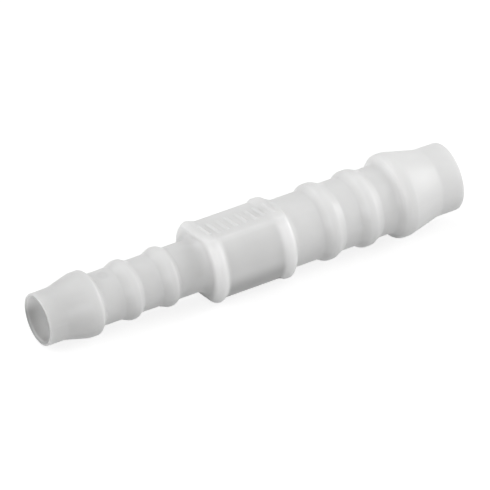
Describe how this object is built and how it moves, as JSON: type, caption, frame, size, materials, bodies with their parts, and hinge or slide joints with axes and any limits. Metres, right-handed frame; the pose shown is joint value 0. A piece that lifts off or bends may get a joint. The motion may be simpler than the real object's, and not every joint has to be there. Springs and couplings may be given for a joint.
{
  "type": "hose reducer",
  "caption": "Straight barbed hose reducer in natural plastic: a small and a large ribbed spigot joined by a round body with stop collars and spanner flats.",
  "frame": {"origin": "on the bore's axis, half way between the two mouths", "axes": "+X along the bore from the small end to the large end, +Z square to the body's two flats"},
  "size_m": [0.0526, 0.0098, 0.0098],
  "materials": {
    "natural_plastic": "milky translucent natural plastic, satin as moulded"
  },
  "bodies": {
    "root": {"reducer": "natural_plastic"}
  },
  "joints": []
}
